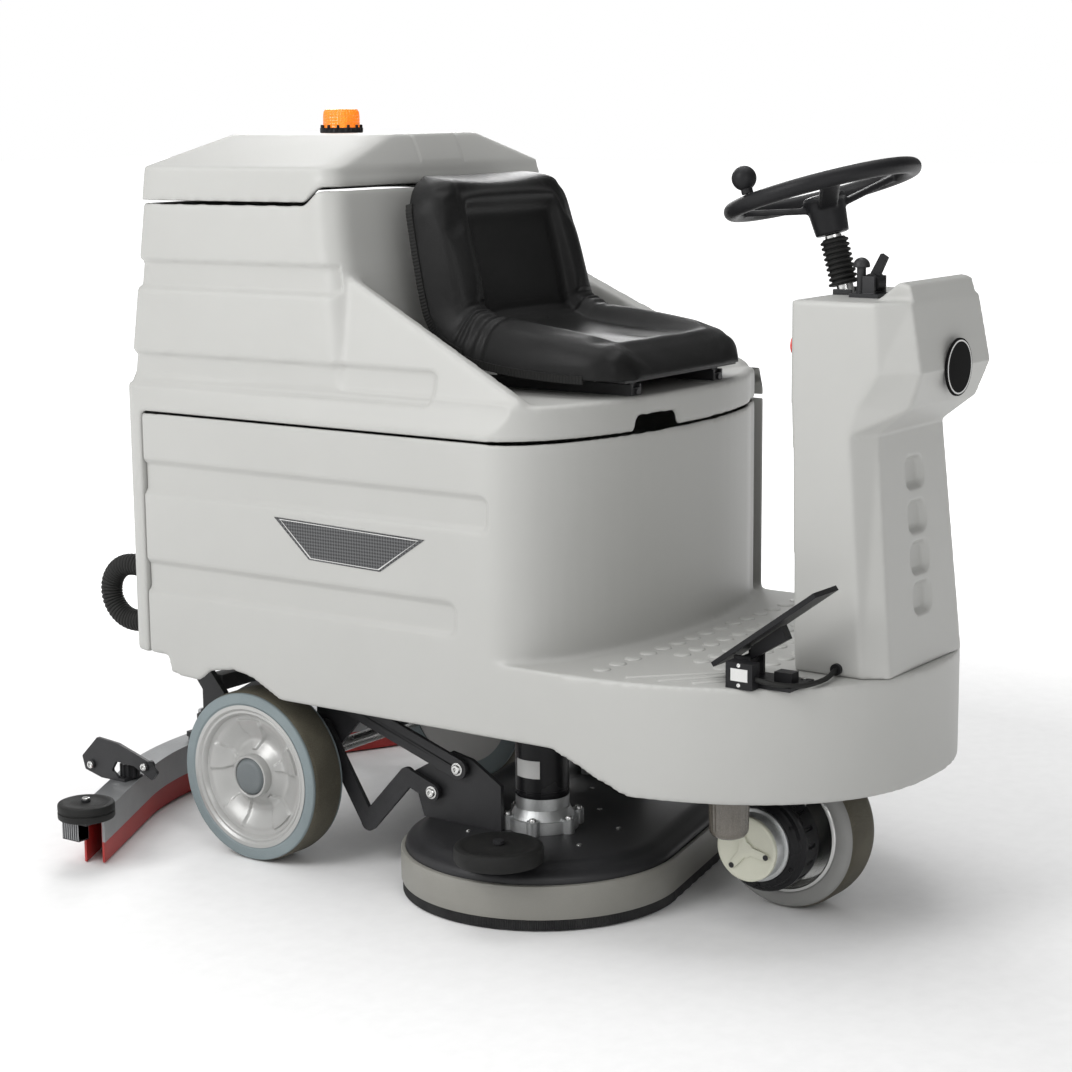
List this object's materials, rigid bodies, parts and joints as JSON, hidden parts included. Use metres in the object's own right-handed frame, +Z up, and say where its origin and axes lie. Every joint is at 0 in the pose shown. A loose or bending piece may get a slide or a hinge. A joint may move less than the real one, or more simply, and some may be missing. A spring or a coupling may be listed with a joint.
{
  "type": "ride-on floor scrubber",
  "caption": "Ride-on scrubber with tipping upper tank, bucket seat, steered drive wheel, lifting brush deck and curved squeegee.",
  "frame": {"origin": "on the floor under the middle of the machine's outline", "axes": "+Z up, -Y the way it drives, +X the driver's left"},
  "size_m": [1.168, 1.592, 1.287],
  "materials": {
    "body": "satin",
    "black": "satin",
    "vinyl": "soft gloss",
    "frame": "powder coat",
    "rubber": "matte",
    "red_rubber": "matte",
    "tyre": "matte",
    "hub": "satin",
    "aluminium": "cast",
    "steel": "brushed",
    "amber": "gloss",
    "strip": "satin",
    "red": "gloss",
    "grey_metal": "satin",
    "bristle": "bristle"
  },
  "bodies": {
    "chassis": {"chassis_frame": "frame", "lower_body": "body", "console": "body", "control_panel": "black", "badges": "black", "rear_axle": "steel", "tank_hinge": "frame", "lift_actuators": "aluminium", "batteries": "black", "vacuum_motor": "aluminium", "solution_filter": "black", "column_bracket": "frame", "pedal_base": "black", "pedal_cable": "rubber"},
    "upper_tank": {"recovery_tank": "body", "rear_column": "body", "upper_tank_hinges": "steel", "drain_hose": "rubber", "seat_rails": "frame"},
    "lid": {"tank_lid": "body", "beacon": "amber"},
    "seat": {"seat_pad": "vinyl", "seat_pan": "frame"},
    "drive_unit": {"drive_fork": "steel", "drive_gearbox": "frame", "drive_motor": "aluminium"},
    "drive_wheel": {"drive_tyre": "tyre", "drive_rim": "steel"},
    "steering_shaft": {"steering_shaft": "steel"},
    "column": {"steering_column": "steel", "column_boot": "rubber"},
    "wheel": {"steering_wheel": "black"},
    "spinner": {"spinner_knob": "black"},
    "lever": {"column_lever": "black"},
    "stop_button": {"emergency_stop": "red"},
    "key": {"key_switch": "steel"},
    "pedal": {"accelerator_pedal": "black"},
    "upper_links": {"upper_links": "frame"},
    "lower_links": {"lower_links": "frame"},
    "deck": {"deck_cover": "frame", "deck_skirt": "strip", "deck_brackets": "frame", "brush_gearboxes": "aluminium", "brush_motors": "frame"},
    "squeegee_arm": {"squeegee_arm": "frame"},
    "squeegee": {"squeegee_body": "grey_metal", "squeegee_blades": "red_rubber", "squeegee_fittings": "frame"},
    "brush_right": {"brush_right": "bristle"},
    "wheel_right": {"wheel_tyre_right": "tyre", "wheel_hub_right": "hub"},
    "brush_left": {"brush_left": "bristle"},
    "wheel_left": {"wheel_tyre_left": "tyre", "wheel_hub_left": "hub"},
    "deck_roller_right": {"deck_roller_right": "black"},
    "squeegee_roller_right": {"squeegee_roller_right": "black"},
    "squeegee_knob_right": {"squeegee_knob_right": "black"},
    "deck_roller_left": {"deck_roller_left": "black"},
    "squeegee_roller_left": {"squeegee_roller_left": "black"},
    "squeegee_knob_left": {"squeegee_knob_left": "black"}
  },
  "joints": [
    {"name": "tank_tilt", "type": "hinge", "parent": "chassis", "child": "upper_tank", "pos_m": [0, 0.589, 0.336], "axis": [-1, 0, 0], "range_deg": [0, 52]},
    {"name": "lid_hinge", "type": "hinge", "parent": "upper_tank", "child": "lid", "pos_m": [0, 0.603, 1.146], "axis": [-1, 0, 0], "range_deg": [0, 75]},
    {"name": "seat_slide", "type": "slide", "parent": "upper_tank", "child": "seat", "axis": [0, 1, 0], "range_m": [-0.06, 0.04]},
    {"name": "steering_yaw", "type": "hinge", "parent": "chassis", "child": "drive_unit", "pos_m": [0, -0.52, 0.3], "axis": [0, 0, 1], "range_deg": [-65, 65]},
    {"name": "drive_wheel_spin", "type": "hinge", "parent": "drive_unit", "child": "drive_wheel", "pos_m": [0, -0.52, 0.13], "axis": [1, 0, 0], "continuous": true},
    {"name": "steering_shaft_turn", "type": "hinge", "parent": "chassis", "child": "steering_shaft", "pos_m": [0, -0.645, 0.6], "axis": [0, 0, 1], "range_deg": [-156, 156]},
    {"name": "column_tilt", "type": "hinge", "parent": "chassis", "child": "column", "pos_m": [0, -0.605, 0.988], "axis": [-1, 0, 0], "range_deg": [-8, 8]},
    {"name": "steering_wheel_turn", "type": "hinge", "parent": "column", "child": "wheel", "pos_m": [0, -0.605, 0.988], "axis": [0, 0.2756, 0.9613], "range_deg": [-156, 156]},
    {"name": "spinner_turn", "type": "hinge", "parent": "wheel", "child": "spinner", "pos_m": [-0.13259, -0.50499, 1.14242], "axis": [0, 0.2756, 0.9613], "continuous": true},
    {"name": "column_lever_swing", "type": "hinge", "parent": "chassis", "child": "lever", "pos_m": [-0.046, -0.673, 1.022], "axis": [1, 0, 0], "range_deg": [0, 35]},
    {"name": "stop_push", "type": "slide", "parent": "chassis", "child": "stop_button", "axis": [0, -1, 0], "range_m": [0, 0.005]},
    {"name": "key_turn", "type": "hinge", "parent": "chassis", "child": "key", "pos_m": [0.08, -0.588, 0.925], "axis": [0, 1, 0], "range_deg": [0, 90]},
    {"name": "pedal_press", "type": "hinge", "parent": "chassis", "child": "pedal", "pos_m": [-0.241, -0.573, 0.462], "axis": [1, 0, 0], "range_deg": [0, 12], "stiffness_Nm_per_rad": 4, "springref_deg": -25.78},
    {"name": "deck_lift", "type": "hinge", "parent": "chassis", "child": "upper_links", "pos_m": [0, 0.22, 0.28], "axis": [-1, 0, 0], "range_deg": [0, 11.4]},
    {"name": "lower_link_swing", "type": "hinge", "parent": "chassis", "child": "lower_links", "pos_m": [0, 0.275, 0.231], "axis": [-1, 0, 0], "range_deg": [0, 11.4]},
    {"name": "deck_level", "type": "hinge", "parent": "upper_links", "child": "deck", "pos_m": [0, -0.015, 0.202], "axis": [1, 0, 0], "range_deg": [0, 11.4]},
    {"name": "brush_spin_right", "type": "hinge", "parent": "deck", "child": "brush_right", "pos_m": [-0.16, -0.13, 0.06], "axis": [0, 0, 1], "continuous": true},
    {"name": "wheel_spin_right", "type": "hinge", "parent": "chassis", "child": "wheel_right", "pos_m": [-0.299, 0.367, 0.15], "axis": [1, 0, 0], "continuous": true},
    {"name": "brush_spin_left", "type": "hinge", "parent": "deck", "child": "brush_left", "pos_m": [0.187, -0.054, 0.06], "axis": [0, 0, 1], "continuous": true},
    {"name": "wheel_spin_left", "type": "hinge", "parent": "chassis", "child": "wheel_left", "pos_m": [0.299, 0.367, 0.15], "axis": [1, 0, 0], "continuous": true},
    {"name": "squeegee_lift", "type": "hinge", "parent": "chassis", "child": "squeegee_arm", "pos_m": [0, 0.517, 0.252], "axis": [1, 0, 0], "range_deg": [0, 12]},
    {"name": "squeegee_swivel", "type": "hinge", "parent": "squeegee_arm", "child": "squeegee", "pos_m": [0, 0.719, 0.13], "axis": [0, 0, 1], "range_deg": [-8, 8]},
    {"name": "deck_roller_spin_right", "type": "hinge", "parent": "deck", "child": "deck_roller_right", "pos_m": [-0.374, -0.196, 0.124], "axis": [0, 0, 1], "continuous": true},
    {"name": "squeegee_roller_spin_right", "type": "hinge", "parent": "squeegee", "child": "squeegee_roller_right", "pos_m": [-0.535, 0.563, 0.106], "axis": [0, 0, 1], "continuous": true},
    {"name": "squeegee_knob_turn_right", "type": "hinge", "parent": "squeegee", "child": "squeegee_knob_right", "pos_m": [-0.33, 0.663, 0.116], "axis": [0, 0, 1], "continuous": true},
    {"name": "deck_roller_spin_left", "type": "hinge", "parent": "deck", "child": "deck_roller_left", "pos_m": [0.404, -0.118, 0.124], "axis": [0, 0, 1], "continuous": true},
    {"name": "squeegee_roller_spin_left", "type": "hinge", "parent": "squeegee", "child": "squeegee_roller_left", "pos_m": [0.535, 0.563, 0.106], "axis": [0, 0, 1], "continuous": true},
    {"name": "squeegee_knob_turn_left", "type": "hinge", "parent": "squeegee", "child": "squeegee_knob_left", "pos_m": [0.33, 0.663, 0.116], "axis": [0, 0, 1], "continuous": true}
  ],
  "couplings": [
    {"joint": "steering_shaft_turn", "follows": "steering_yaw", "ratio": 2.3846},
    {"joint": "steering_wheel_turn", "follows": "steering_yaw", "ratio": 2.3846},
    {"joint": "lower_link_swing", "follows": "deck_lift", "ratio": 1},
    {"joint": "deck_level", "follows": "deck_lift", "ratio": 1}
  ]
}
